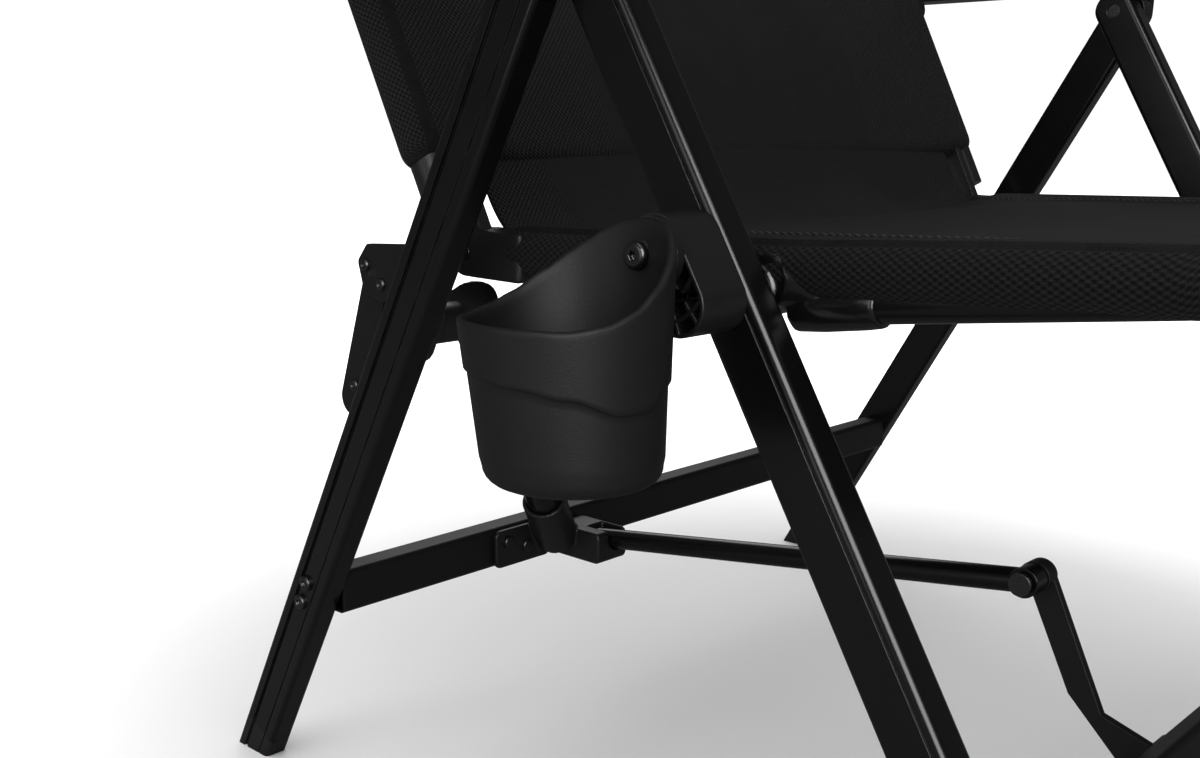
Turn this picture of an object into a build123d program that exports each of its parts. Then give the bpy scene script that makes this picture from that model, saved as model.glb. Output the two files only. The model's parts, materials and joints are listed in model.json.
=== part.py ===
from build123d import *
from math import atan2, cos, degrees, hypot, radians, sin
import os

os.makedirs("parts", exist_ok=True)

# ---------------------------------------------------------------- driving dimensions
# X runs across the chair, the front of the chair faces -Y and +Z is up.
# The origin is on the floor, halfway between the arms and under the top of the A-frames.
# The cup holder side is -X, which is the sitter's right hand.

apex_z = 503.0             # height of the pivot where front and rear legs meet
front_foot_y = -300.0      # front feet, ahead of the apex
rear_foot_y = 284.0        # rear feet, behind the apex

front_leg_x = (294.0, 314.0)   # inner and outer face of the front legs
rear_leg_x = (315.5, 331.5)    # inner and outer face of the rear legs
front_leg_width = 29.0
rear_leg_width = 31.0
leg_wall = 2.6

pin_radius = 5.0
running_gap = 0.05         # radial clearance of every pin in its moving bore
press_gap = 0.02           # clearance round a tube that is glued or pressed in its socket
bar_height = 28.0          # crossbars, seen from the front
bar_depth = 20.0
front_bar_down = 478.0     # front crossbar, measured down the front leg from the apex
rear_bar_z = 132.5
rear_bar_forward = 8.0     # the rear crossbar stands this far ahead of the rear leg axis

hinge_z = 343.0            # seat pivot on the front legs
back_pivot = (100.0, 347.0)    # seat to back pivot, as (y, z)
back_recline = 27.0        # lean of the back from vertical, degrees
back_length = 640.0
back_tube_x = 293.0
back_tube_radius = 8.0

rail_x = 276.0             # seat side rails
rail_radius = 9.0
seat_front_y = -316.0      # axis of the seat's front tube
seat_rise = 6.5            # degrees that the front half of the seat climbs forward
elbow_y = -126.0           # where the moulded seat elbow takes the front tube

arm_bottom = 17.5          # underside of the arm bar above the apex pivot
arm_front = -188.0
arm_pad_rear = 150.0
arm_pad_x = (300.0, 346.0)

stay_x = -114.0            # spreader stay, on the cup holder side only
stay_radius = 7.0
stay_pivot = (-158.0, 176.0)   # front pivot of the stay, as (y, z)
stay_slope = 8.1           # degrees that the stay falls towards the rear
stay_length = 324.0

brace_radius = 12.0
brace_foot = (-150.0, 175.0, 150.0)
brace_head = (-282.0, 104.0, 318.0)

cup_top = (-393.0, -78.0)      # centre of the cup's top circle, as (x, y)
cup_bottom = (-393.0, -86.0)   # centre of its bottom circle
cup_top_radius = 45.7
cup_bottom_radius = 37.5
cup_bottom_z = 273.0
cup_top_z = 380.0
cup_wall = 2.6
cup_bolt_z = 362.0
cup_bolt_radius = 3.0

# ---------------------------------------------------------------- derived places

front_reach = hypot(front_foot_y, apex_z)
rear_reach = hypot(rear_foot_y, apex_z)
front_down = (0.0, front_foot_y / front_reach, -apex_z / front_reach)
rear_down = (0.0, rear_foot_y / rear_reach, -apex_z / rear_reach)
front_angle = degrees(atan2(front_down[2], front_down[1]))
rear_angle = degrees(atan2(rear_down[2], rear_down[1]))
back_up = (sin(radians(back_recline)), cos(radians(back_recline)))


def on_front_leg(down, behind=0.0):
    """(y, z) of a place on the front leg axis, and some distance behind it."""
    return (
        down * front_down[1] - behind * front_down[2],
        apex_z + down * front_down[2] + behind * front_down[1],
    )


def front_leg_y(z):
    return front_foot_y * (apex_z - z) / apex_z


def rear_leg_y(z):
    return rear_foot_y * (apex_z - z) / apex_z


def on_back(up, behind=0.0):
    """(y, z) of a place up the back from its pivot, and some distance behind its plane."""
    return (
        back_pivot[0] + up * back_up[0] + behind * back_up[1],
        back_pivot[1] + up * back_up[1] - behind * back_up[0],
    )


hinge = (front_leg_y(hinge_z), hinge_z)
arm_rear_pivot = (back_pivot[0] - hinge[0], back_pivot[1] + apex_z - hinge[1])
rear_bar = (rear_leg_y(rear_bar_z) - rear_bar_forward, rear_bar_z)
front_bar = on_front_leg(front_bar_down)
cup_bolt = (front_leg_y(cup_bolt_z), cup_bolt_z)


def side_plane(x, place=(0.0, 0.0), turn=0.0):
    """Side view plane at x: local x runs along +Y turned by some degrees, normal +X."""
    along = (0.0, cos(radians(turn)), sin(radians(turn)))
    return Plane(origin=(x, place[0], place[1]), x_dir=along, z_dir=(1, 0, 0))


def leg_plane(x, direction, down=0.0):
    """Plane across a leg: local x is +X and local y is the leg's front side."""
    origin = (x, down * direction[1], apex_z + down * direction[2])
    return Plane(origin=origin, x_dir=(1, 0, 0), z_dir=direction)


def finish(builder, label):
    builder.part.label = label
    export_step(builder.part, f"parts/{label}.step")


def mirrored(builder, label):
    """The same piece on the other side of the chair."""
    with BuildPart() as other:
        add(mirror(builder.part, about=Plane.YZ))
    finish(other, label)


# ---------------------------------------------------------------- legs

front_leg_mid = -sum(front_leg_x) / 2
rear_leg_mid = -sum(rear_leg_x) / 2
front_leg_thick = front_leg_x[1] - front_leg_x[0]
rear_leg_thick = rear_leg_x[1] - rear_leg_x[0]
foot_height = 22.0
plug_length = 24.0


front_corner = 4.0         # corner radii of the leg extrusions
rear_corner = 3.0


def front_section():
    """Wide flat face with a fine groove beside the front edge."""
    Rectangle(front_leg_thick, front_leg_width)
    fillet(vertices().group_by(Axis.Y)[-1], front_corner)
    fillet(vertices().group_by(Axis.Y)[0], rear_corner)
    with Locations((-front_leg_thick / 2, front_leg_width / 2 - 5.5)):
        Rectangle(2.0, 0.9, mode=Mode.SUBTRACT)


def rear_section():
    """Flat face between a rear lobe with a deep groove and a finer groove near the front."""
    half_width = rear_leg_width / 2
    Rectangle(rear_leg_thick, rear_leg_width)
    fillet(vertices(), rear_corner)
    with Locations((-rear_leg_thick / 2, 9.0 - half_width)):
        Rectangle(3.2, 3.4, mode=Mode.SUBTRACT)
    with Locations((-rear_leg_thick / 2, half_width - 8.5)):
        Rectangle(1.6, 1.2, mode=Mode.SUBTRACT)


def hollow(thick, width, gap=0.0):
    """The room inside a leg, or a plug that fits it with some gap."""
    Rectangle(thick - 2 * leg_wall - 1.6 - 2 * gap, width - 2 * leg_wall - 4.0 - 2 * gap)


def leg(section, x, direction, reach, width, thick, bores):
    """A hollow extruded leg, round about the apex pivot, bored for its pins."""
    over = width / 2
    with BuildPart() as made:
        with BuildSketch(leg_plane(x, direction, -over)):
            section()
        extrude(amount=over + reach - foot_height)
        with BuildSketch(leg_plane(x, direction, width)):
            hollow(thick, width)
        extrude(amount=reach, mode=Mode.SUBTRACT)
        with BuildSketch(side_plane(x - thick, (0.0, apex_z), degrees(atan2(direction[2], direction[1])))):
            with Locations((-over, 0)):
                Rectangle(2 * over, 3 * width)
            Circle(over, mode=Mode.SUBTRACT)
        extrude(amount=2 * thick, mode=Mode.SUBTRACT)
        for place, radius in bores:
            with BuildSketch(side_plane(x - thick, place)):
                Circle(radius)
            extrude(amount=2 * thick, mode=Mode.SUBTRACT)
    return made


def foot(section, x, direction, reach, thick, width):
    """A moulded end plug, flush with the leg and cut level with the floor."""
    with BuildPart() as cap:
        with BuildSketch(leg_plane(x, direction, reach - foot_height)):
            section()
        extrude(amount=foot_height + width)
        split(bisect_by=Plane.XY, keep=Keep.TOP)
        with BuildSketch(leg_plane(x, direction, reach - foot_height - plug_length)):
            hollow(thick, width, 2 * press_gap)
        extrude(amount=plug_length)
    return cap


apex = (0.0, apex_z)
bore = pin_radius + running_gap
front_leg_left = leg(
    front_section, front_leg_mid, front_down, front_reach, front_leg_width, front_leg_thick,
    [(apex, bore), (hinge, bore)],
)
finish(front_leg_left, "front_leg_left")
mirrored(front_leg_left, "front_leg_right")

rear_leg_left = leg(
    rear_section, rear_leg_mid, rear_down, rear_reach, rear_leg_width, rear_leg_thick,
    [(apex, bore)],
)
finish(rear_leg_left, "rear_leg_left")
mirrored(rear_leg_left, "rear_leg_right")


def feet(section, x, direction, reach, thick, width, label):
    cap = foot(section, x, direction, reach, thick, width)
    with BuildPart() as pair:
        add(cap.part)
        add(mirror(cap.part, about=Plane.YZ))
    finish(pair, label)


feet(front_section, front_leg_mid, front_down, front_reach, front_leg_thick, front_leg_width, "front_feet")
feet(rear_section, rear_leg_mid, rear_down, rear_reach, rear_leg_thick, rear_leg_width, "rear_feet")


def crossbar(place, half_length, turn, label):
    """A hollow flat bar between two legs, with its broad side to the front."""
    with BuildPart() as bar:
        with BuildSketch(side_plane(-half_length, place, turn)):
            Rectangle(bar_depth, bar_height)
            fillet(vertices(), 4.0)
            Rectangle(bar_depth - 4.0, bar_height - 4.0, mode=Mode.SUBTRACT)
        extrude(amount=2 * half_length)
    finish(bar, label)


crossbar(front_bar, front_leg_x[0], front_angle + 90.0, "front_crossbar")
crossbar(rear_bar, rear_leg_x[0], 0.0, "rear_crossbar")


def pan_head(x, place, radius, height, side=-1, socket=2.2):
    """A domed screw head on a face at x, domed towards side, with a hex socket."""
    with BuildPart() as head:
        with BuildSketch(side_plane(x, place)):
            Circle(radius)
        extrude(amount=side * height)
        fillet(head.faces().sort_by(Axis.X)[0 if side < 0 else -1].edges(), height * 0.55)
        with BuildSketch(side_plane(x + side * height, place)):
            RegularPolygon(socket, 6)
        extrude(amount=-side * height * 0.6, mode=Mode.SUBTRACT)
    return head.part


def screw_group(x, places, label):
    """The same screws on the outer faces of the left and right legs."""
    with BuildPart() as group:
        for place in places:
            head = pan_head(x, place, 5.0, 2.6)
            add(head)
            add(mirror(head, about=Plane.YZ))
    finish(group, label)


bar_screw_pitch = 7.0
screw_group(
    -front_leg_x[1],
    [on_front_leg(front_bar_down + step, 2.0) for step in (-bar_screw_pitch, bar_screw_pitch)],
    "front_crossbar_screws",
)
rear_screw_y = rear_leg_y(rear_bar_z)
screw_group(
    -rear_leg_x[1],
    [(rear_screw_y - 2.0, rear_bar_z + bar_screw_pitch), (rear_screw_y + 5.0, rear_bar_z - bar_screw_pitch)],
    "rear_crossbar_screws",
)

# ---------------------------------------------------------------- apex pivot and hubs

ear_gap = 1.5
ear_x = (rear_leg_x[1] + ear_gap, rear_leg_x[1] + ear_gap + 6.0)
hub_thick = 30.0
hub_x = front_leg_x[1] + hub_thick


def pin(x_in, x_out, place, radius, head_radius, head):
    """A pin along X on the cup holder side, headed at its outer end."""
    with BuildPart() as made:
        with BuildSketch(side_plane(-x_out, place)):
            Circle(radius)
        extrude(amount=x_out - x_in)
        add(pan_head(-x_out, place, head_radius, head))
    return made.part


apex_pin = pin(front_leg_x[0] + 0.5, ear_x[1] + 0.3, apex, pin_radius, 9.0, 4.0)
with BuildPart() as apex_bolts:
    add(apex_pin)
    add(mirror(apex_pin, about=Plane.YZ))
finish(apex_bolts, "apex_bolts")

washer_slack = 0.15
with BuildPart() as apex_washer:
    for x_in, x_out in ((front_leg_x[1], rear_leg_x[0]), (rear_leg_x[1], ear_x[0])):
        with BuildSketch(side_plane(-x_out + washer_slack, apex)):
            Circle(12.0)
            Circle(bore, mode=Mode.SUBTRACT)
        extrude(amount=x_out - x_in - 2 * washer_slack)
with BuildPart() as apex_washers:
    add(apex_washer.part)
    add(mirror(apex_washer.part, about=Plane.YZ))
finish(apex_washers, "apex_washers")

hub_length = 56.0
hub_width = 28.0
hub_down = 174.5           # middle of the hub, measured down the front leg from the apex
hub_wall = 1.8
pocket_shift = 6.0
pocket_depth = 14.0
rib_radii = (21.0, 30.0, 39.0)
rib_turns = (-9.0, 9.0)

with BuildPart() as hub_left:
    with BuildSketch(side_plane(-hub_x, on_front_leg(hub_down), front_angle)):
        SlotOverall(hub_length, hub_width)
    extrude(amount=hub_thick)
    fillet(faces().sort_by(Axis.X)[0].edges(), 0.8)
    # The open outer face holds a lattice of ribs that fan out from the bolt's boss.
    with BuildSketch(side_plane(-hub_x, cup_bolt, front_angle)) as pocket:
        with Locations((hub_down + pocket_shift - (apex_z - cup_bolt_z) * front_reach / apex_z, 0)):
            SlotOverall(hub_length - 2 * pocket_shift - 2 * hub_wall, hub_width - 2 * hub_wall)
        Circle(9.0, mode=Mode.SUBTRACT)
        for radius in rib_radii:
            with BuildSketch(mode=Mode.SUBTRACT):
                Circle(radius + 0.8)
                Circle(radius - 0.8, mode=Mode.SUBTRACT)
        for turn in rib_turns:
            with Locations(Location((0, 0), turn)):
                Rectangle(2 * hub_length, 1.5, mode=Mode.SUBTRACT)
    extrude(amount=pocket_depth, mode=Mode.SUBTRACT)
    with BuildSketch(side_plane(-hub_x, hinge)):
        Circle(bore)
    extrude(amount=hub_thick, mode=Mode.SUBTRACT)
    with BuildSketch(side_plane(-hub_x, cup_bolt)):
        Circle(cup_bolt_radius + running_gap)
    extrude(amount=pocket_depth, mode=Mode.SUBTRACT)
finish(hub_left, "hub_left")
mirrored(hub_left, "hub_right")

connector_x = (269.0, 292.5)
with BuildPart() as hinge_pin:
    with BuildSketch(side_plane(-(hub_x - 15.0), hinge)):
        Circle(pin_radius)
    extrude(amount=hub_x - 15.0 - connector_x[0] - 2.0)
with BuildPart() as seat_pivot_pins:
    add(hinge_pin.part)
    add(mirror(hinge_pin.part, about=Plane.YZ))
finish(seat_pivot_pins, "seat_pivot_pins")

# ---------------------------------------------------------------- clip, brace and stay

bar_front_y = rear_bar[0] - bar_depth / 2
clip_screw_x = (-179.0, -161.5)

brace_vector = Vector(*brace_head) - Vector(*brace_foot)
brace_direction = brace_vector.normalized()
brace_plane = Plane(origin=brace_foot, x_dir=(0, 1, 0), z_dir=tuple(brace_direction))

with BuildPart() as diagonal_brace:
    with BuildSketch(brace_plane):
        Circle(brace_radius)
        Circle(brace_radius - 1.6, mode=Mode.SUBTRACT)
    extrude(amount=brace_vector.length)
finish(diagonal_brace, "diagonal_brace")

socket_wall = 3.2
socket_half = 24.0
stay_line = (cos(radians(stay_slope)), -sin(radians(stay_slope)))
stay_end = (stay_pivot[0] + stay_length * stay_line[0], stay_pivot[1] + stay_length * stay_line[1])
clip_plate = 4.0
hook_front = stay_end[0] - 18.0
hook_middle = (hook_front + bar_front_y) / 2
open_top = 20.0

with BuildPart() as brace_clip:
    with BuildSketch(Plane.XZ.offset(-bar_front_y)):
        with Locations((sum(clip_screw_x) / 2 + 6.0, rear_bar_z - 1.0)):
            RectangleRounded(52.0, 27.0, 5.0)
    extrude(amount=clip_plate)
    with BuildSketch(brace_plane.offset(-socket_half)):
        Circle(brace_radius + socket_wall)
    extrude(amount=2 * socket_half)
    with BuildSketch(brace_plane):
        Circle(brace_radius + press_gap)
    extrude(amount=2 * socket_half, mode=Mode.SUBTRACT)
    with BuildSketch(side_plane(stay_x - stay_radius - 12.0, (hook_middle, stay_end[1] - 1.5))):
        Rectangle(bar_front_y - hook_front, 2 * (stay_radius + socket_wall) + 2.0)
        fillet(vertices(), 4.0)
    extrude(amount=2 * stay_radius + 15.0)
    stay_end_plane = Plane(origin=(stay_x, *stay_end), x_dir=(1, 0, 0), z_dir=(0, *stay_line))
    with BuildSketch(stay_end_plane.offset(-40.0)):
        Circle(stay_radius + 0.6)
        with Locations((0, -open_top)):
            Rectangle(2 * stay_radius + 1.2, 2 * open_top)
    extrude(amount=42.0, mode=Mode.SUBTRACT)
    split(bisect_by=Plane.XZ.offset(-bar_front_y), keep=Keep.TOP)
finish(brace_clip, "brace_clip")

clip_screw_z = (rear_bar_z + 3.5, rear_bar_z - 2.5)
with BuildPart() as brace_clip_screws:
    for x, z in zip(clip_screw_x, clip_screw_z):
        with BuildSketch(Plane(origin=(x, bar_front_y - clip_plate, z), x_dir=(1, 0, 0), z_dir=(0, -1, 0))):
            Circle(4.4)
        extrude(amount=2.4)
    fillet(brace_clip_screws.faces().group_by(Axis.Y)[0].edges(), 1.2)
finish(brace_clip_screws, "brace_clip_screws")

joint_wall = 3.0
joint_socket = 26.0
joint_cap = 3.0
joint_z = 308.0
joint_place = (rear_leg_y(joint_z), joint_z)
with BuildPart() as brace_top_joint:
    with BuildSketch(side_plane(-rear_leg_x[0], joint_place, rear_angle)):
        SlotOverall(44.0, 26.0)
    extrude(amount=5.0)
    with BuildSketch(side_plane(-rear_leg_x[0], joint_place)):
        Circle(11.0)
    extrude(amount=rear_leg_x[0] + brace_head[0] - 5.0)
    with BuildSketch(brace_plane.offset(brace_vector.length - joint_socket)):
        Circle(brace_radius + joint_wall)
    extrude(amount=joint_socket + joint_cap)
    with BuildSketch(brace_plane):
        Circle(brace_radius + press_gap)
    extrude(amount=brace_vector.length + press_gap, mode=Mode.SUBTRACT)
finish(brace_top_joint, "brace_top_joint")

# The stay hangs on a post behind the front crossbar and drops into the open top of the clip.
post_thick = 5.0
post_boss = 5.0
post_x = (stay_x + stay_radius + 0.6 + post_boss, stay_x + stay_radius + 0.6 + post_boss + post_thick)
stay_pin_radius = 4.0
stay_eye_half = 6.0

with BuildPart() as stay_post:
    with BuildSketch(Plane.YZ.offset(post_x[0])):
        with BuildLine():
            foot_low = on_front_leg(front_bar_down + 10.0, bar_depth / 2)
            foot_high = on_front_leg(front_bar_down - 10.0, bar_depth / 2)
            Polyline(
                foot_low,
                on_front_leg(front_bar_down + 4.0, 30.0),
                on_front_leg(front_bar_down - 50.0, 44.0),
                (stay_pivot[0] + 8.0, stay_pivot[1]),
                (stay_pivot[0] - 8.0, stay_pivot[1] + 2.0),
                on_front_leg(front_bar_down - 34.0, 31.0),
                foot_high,
                close=True,
            )
        make_face()
        with Locations(stay_pivot):
            Circle(9.0)
            Circle(stay_pin_radius + running_gap, mode=Mode.SUBTRACT)
    extrude(amount=post_thick)
    with BuildSketch(side_plane(post_x[0] - post_boss, stay_pivot)):
        Circle(9.0)
        Circle(stay_pin_radius + running_gap, mode=Mode.SUBTRACT)
    extrude(amount=post_boss)
    with BuildSketch(side_plane(post_x[0] - 12.0, front_bar, front_angle + 90.0)):
        with Locations((bar_depth / 2 + 1.5, 0)):
            Rectangle(3.0, 24.0)
    extrude(amount=32.0)
finish(stay_post, "stay_post")

with BuildPart() as stay_pin:
    with BuildSketch(side_plane(stay_x - stay_radius - 2.0, stay_pivot)):
        Circle(stay_pin_radius)
    extrude(amount=post_x[1] + 2.0 - stay_x + stay_radius + 2.0)
    for x, width in ((stay_x - stay_radius - 3.4, 2.6), (post_x[1] + 0.6, 2.6)):
        with BuildSketch(side_plane(x, stay_pivot)):
            Circle(6.5)
        extrude(amount=width)
finish(stay_pin, "stay_pin")

with BuildPart() as stay_tube:
    with BuildSketch(Plane(origin=(stay_x, *stay_pivot), x_dir=(1, 0, 0),
                           z_dir=(0, cos(radians(stay_slope)), -sin(radians(stay_slope))))):
        Circle(stay_radius)
    extrude(amount=stay_length)
    fillet(stay_tube.faces().sort_by(Axis.Y)[-1].edges(), 2.0)
    with BuildSketch(side_plane(stay_x - stay_eye_half, stay_pivot)):
        Circle(stay_radius + 1.5)
    extrude(amount=2 * stay_eye_half)
    with BuildSketch(side_plane(stay_x - 2 * stay_radius, stay_pivot)):
        Circle(stay_pin_radius + running_gap)
    extrude(amount=4 * stay_radius, mode=Mode.SUBTRACT)
finish(stay_tube, "stay_tube")

# ---------------------------------------------------------------- seat frame

rail_level = hinge_z - 5.0
front_plane = Plane(
    origin=(0, elbow_y, rail_level),
    x_dir=(1, 0, 0),
    z_dir=(0, sin(radians(seat_rise)), cos(radians(seat_rise))),
)
front_depth = (elbow_y - seat_front_y) / cos(radians(seat_rise))

with BuildPart() as seat_front_tube:
    with BuildLine(front_plane):
        run = FilletPolyline(
            (-rail_x, 0), (-rail_x, -front_depth), (rail_x, -front_depth), (rail_x, 0), radius=42.0
        )
    with BuildSketch(Plane(origin=run @ 0, z_dir=run % 0)):
        Circle(rail_radius)
        Circle(rail_radius - 1.5, mode=Mode.SUBTRACT)
    sweep()
finish(seat_front_tube, "seat_front_tube")

knuckle_radius = 13.0
rear_rail_turn = degrees(atan2(back_pivot[1] - hinge[1], back_pivot[0] - hinge[0]))
rail_half_height = 11.0
rail_half_thick = 6.0

with BuildPart() as seat_rear_rail_left:
    with BuildSketch(side_plane(-rail_x - rail_half_thick, hinge, rear_rail_turn)):
        with Locations((26.0 + (back_pivot[0] - hinge[0] - 44.0) / 2, 0)):
            Rectangle(back_pivot[0] - hinge[0] - 44.0, 2 * rail_half_height)
    extrude(amount=2 * rail_half_thick)
    fillet(seat_rear_rail_left.edges().filter_by(Axis.Y, tolerance=3), 3.0)
finish(seat_rear_rail_left, "seat_rear_rail_left")
mirrored(seat_rear_rail_left, "seat_rear_rail_right")

elbow = (hinge[0] - 21.5, hinge[1] + 2.0)
elbow_radius = 11.75
rail_sleeve = 2.6

with BuildPart() as seat_connector_left:
    with BuildSketch(side_plane(-connector_x[1], hinge)):
        Circle(15.0)
        with Locations((elbow[0] - hinge[0], elbow[1] - hinge[1])):
            Circle(elbow_radius)
    extrude(amount=connector_x[1] - connector_x[0])
    with BuildSketch(Plane(origin=(-rail_x, elbow_y + 22.0, rail_level - 2.5),
                           x_dir=(1, 0, 0),
                           z_dir=(0, -cos(radians(seat_rise)), sin(radians(seat_rise))))):
        Circle(rail_radius + rail_sleeve)
    extrude(amount=48.0)
    with BuildSketch(side_plane(-rail_x - rail_half_thick - 3.0, hinge, rear_rail_turn)):
        with Locations((22.0, 0)):
            RectangleRounded(52.0, 2 * rail_half_height + 6.0, 8.0)
    extrude(amount=2 * rail_half_thick + 6.0)
    with BuildSketch(side_plane(-connector_x[1] - 1.0, hinge)):
        Circle(bore)
    extrude(amount=40.0, mode=Mode.SUBTRACT)
    with BuildSketch(Plane(origin=(-rail_x, elbow_y, rail_level),
                           x_dir=(1, 0, 0),
                           z_dir=(0, -cos(radians(seat_rise)), sin(radians(seat_rise))))):
        Circle(rail_radius + press_gap)
    extrude(amount=60.0, mode=Mode.SUBTRACT)
    with BuildSketch(side_plane(-rail_x - rail_half_thick - press_gap, hinge, rear_rail_turn)):
        with Locations((26.0 + 30.0 - press_gap, 0)):
            Rectangle(60.0, 2 * rail_half_height + 2 * press_gap)
    extrude(amount=2 * rail_half_thick + 2 * press_gap, mode=Mode.SUBTRACT)
finish(seat_connector_left, "seat_connector_left")
mirrored(seat_connector_left, "seat_connector_right")

fork_x = (266.0, 290.5)
tongue_x = (274.0, 282.5)
fork_pin_radius = 4.0
web_reach = 44.0

with BuildPart() as back_fork_left:
    with BuildSketch(side_plane(-fork_x[1], back_pivot, rear_rail_turn)):
        Circle(knuckle_radius)
        with Locations((-web_reach / 2, 0)):
            Rectangle(web_reach, 2 * knuckle_radius)
    extrude(amount=fork_x[1] - fork_x[0])
    fillet(back_fork_left.faces().sort_by(Axis.Y)[0].edges(), 2.5)
    with BuildSketch(side_plane(-tongue_x[1] - 0.4, back_pivot)):
        Circle(knuckle_radius + 2.0)
    extrude(amount=tongue_x[1] - tongue_x[0] + 0.8, mode=Mode.SUBTRACT)
    with BuildSketch(side_plane(-fork_x[1], back_pivot)):
        Circle(fork_pin_radius)
    extrude(amount=fork_x[1] - fork_x[0], mode=Mode.SUBTRACT)
    with BuildSketch(side_plane(-rail_x - rail_half_thick - press_gap, hinge, rear_rail_turn)):
        with Locations((26.0 + (back_pivot[0] - hinge[0] - 44.0) / 2, 0)):
            Rectangle(back_pivot[0] - hinge[0] - 44.0 + 2 * press_gap, 2 * rail_half_height + 2 * press_gap)
    extrude(amount=2 * rail_half_thick + 2 * press_gap, mode=Mode.SUBTRACT)
finish(back_fork_left, "back_fork_left")
mirrored(back_fork_left, "back_fork_right")

with BuildPart() as fork_pin:
    with BuildSketch(side_plane(-fork_x[1], back_pivot)):
        Circle(fork_pin_radius)
    extrude(amount=fork_x[1] - fork_x[0])
with BuildPart() as back_pivot_pins:
    add(fork_pin.part)
    add(mirror(fork_pin.part, about=Plane.YZ))
finish(back_pivot_pins, "back_pivot_pins")

cross_tube_radius = 8.0
cross_tube = (back_pivot[0] - 62.0, back_pivot[1] - 4.0)
with BuildPart() as seat_cross_tube:
    with BuildSketch(side_plane(-rail_x + rail_half_thick, cross_tube)):
        Circle(cross_tube_radius)
        Circle(cross_tube_radius - 1.5, mode=Mode.SUBTRACT)
    extrude(amount=2 * (rail_x - rail_half_thick))
finish(seat_cross_tube, "seat_cross_tube")

pad_half = rail_x - rail_radius - 3.0
with BuildPart() as seat_pad:
    with BuildSketch(Plane.YZ.offset(-pad_half)):
        with BuildLine():
            Polyline(
                (seat_front_y + rail_radius + 4.0, 357.0),
                (elbow_y, 347.0),
                (back_pivot[0] - 34.0, 356.5),
                (back_pivot[0] - 22.0, 366.0),
                (elbow_y, 363.0),
                (seat_front_y + rail_radius + 4.0, 374.0),
                close=True,
            )
        make_face()
    extrude(amount=2 * pad_half)
    fillet(seat_pad.edges().filter_by(Axis.Z).group_by(Axis.Y)[0], 40.0)
finish(seat_pad, "seat_pad")

# ---------------------------------------------------------------- back

back_plane = Plane(origin=(0, *back_pivot), x_dir=(1, 0, 0), z_dir=(0, -back_up[1], back_up[0]))
tube_start = 26.0
socket_top = 62.0
socket_radius = back_tube_radius + 3.0

with BuildPart() as back_frame:
    with BuildLine(back_plane):
        hoop = FilletPolyline(
            (-back_tube_x, tube_start),
            (-back_tube_x, back_length),
            (back_tube_x, back_length),
            (back_tube_x, tube_start),
            radius=62.0,
        )
    with BuildSketch(Plane(origin=hoop @ 0, z_dir=hoop % 0)):
        Circle(back_tube_radius)
        Circle(back_tube_radius - 1.4, mode=Mode.SUBTRACT)
    sweep()
finish(back_frame, "back_frame")

recline_turn = 90.0 - back_recline
with BuildPart() as back_joint_left:
    with BuildSketch(side_plane(-tongue_x[1], back_pivot, recline_turn)):
        Circle(knuckle_radius)
        with Locations((socket_top / 2, 0)):
            Rectangle(socket_top, 2 * knuckle_radius - 6.0)
    extrude(amount=tongue_x[1] - tongue_x[0])
    with BuildSketch(Plane(origin=(-back_tube_x, *on_back(tube_start - 4.0)), x_dir=(1, 0, 0),
                           z_dir=(0, *back_up))):
        Circle(socket_radius)
    extrude(amount=socket_top - tube_start + 4.0)
    with BuildSketch(side_plane(-tongue_x[1] - 1.0, back_pivot)):
        Circle(fork_pin_radius + running_gap)
    extrude(amount=20.0, mode=Mode.SUBTRACT)
    with BuildSketch(Plane(origin=(-back_tube_x, *on_back(tube_start)), x_dir=(1, 0, 0),
                           z_dir=(0, *back_up))):
        Circle(back_tube_radius + press_gap)
    extrude(amount=80.0, mode=Mode.SUBTRACT)
finish(back_joint_left, "back_joint_left")
mirrored(back_joint_left, "back_joint_right")

pivot_offset = (arm_rear_pivot[0] - back_pivot[0], arm_rear_pivot[1] - back_pivot[1])
pivot_up = pivot_offset[0] * back_up[0] + pivot_offset[1] * back_up[1]
pivot_behind = pivot_offset[0] * back_up[1] - pivot_offset[1] * back_up[0]
bracket_x = (279.0, 308.0)
arm_pin_play = 0.5
arm_pin_end = back_tube_x + back_tube_radius + 1.5

with BuildPart() as arm_bracket:
    with BuildSketch(side_plane(-bracket_x[1], on_back(pivot_up), recline_turn)):
        Circle(12.0)
        with Locations((0, -pivot_behind / 2)):
            Rectangle(21.0, pivot_behind)
        with Locations((0, -pivot_behind)):
            Circle(10.5)
    extrude(amount=bracket_x[1] - bracket_x[0])
    with BuildSketch(Plane(origin=(-back_tube_x, *on_back(pivot_up - 40.0)), x_dir=(1, 0, 0),
                           z_dir=(0, *back_up))):
        Circle(back_tube_radius + press_gap)
    extrude(amount=80.0, mode=Mode.SUBTRACT)
    with BuildSketch(side_plane(-bracket_x[1], arm_rear_pivot)):
        Circle(pin_radius + arm_pin_play)
    extrude(amount=bracket_x[1] - arm_pin_end + 0.5, mode=Mode.SUBTRACT)
with BuildPart() as back_arm_brackets:
    add(arm_bracket.part)
    add(mirror(arm_bracket.part, about=Plane.YZ))
finish(back_arm_brackets, "back_arm_brackets")

panel_half = back_tube_x - back_tube_radius - 3.0
panel_thick = 12.0
with BuildPart() as back_panel:
    with BuildSketch(back_plane.offset(-panel_thick / 2)):
        with Locations((0, (30.0 + back_length - back_tube_radius - 3.0) / 2)):
            RectangleRounded(2 * panel_half - 20.0, back_length - back_tube_radius - 33.0, 40.0)
    extrude(amount=panel_thick)
finish(back_panel, "back_panel")

# ---------------------------------------------------------------- arms

arm_level = apex_z + arm_bottom
bar_thick = 8.0
rear_ear_x = (309.0, 315.0)
arm_bar_y = (arm_front + 12.0, arm_rear_pivot[0] + 11.0)

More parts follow.
